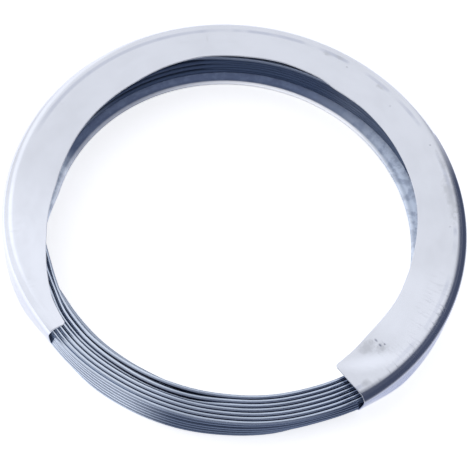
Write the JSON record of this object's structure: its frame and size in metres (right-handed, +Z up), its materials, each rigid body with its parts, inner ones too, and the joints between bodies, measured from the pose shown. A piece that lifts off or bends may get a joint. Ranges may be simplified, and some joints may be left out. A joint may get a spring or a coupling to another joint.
{
  "type": "music wire coil",
  "caption": "Coil of round spring-steel music wire lying in a ring clip of thin C-section sheet, with the turns bare across the clip's gap.",
  "frame": {"origin": "middle of the footprint's box on the floor; the ring's axis passes 2.2 mm in front of it, towards -Y", "axes": "+Z up along the ring's axis, the clip's gap towards -Y, its tapered end towards -X"},
  "size_m": [0.193, 0.1886, 0.0211],
  "materials": {
    "clip_sheet": "satin bright tinned sheet with light scuffs",
    "wire": "bright drawn wire, bare"
  },
  "bodies": {
    "root": {"clip_ring": "clip_sheet", "wire_coil": "wire"}
  },
  "joints": []
}
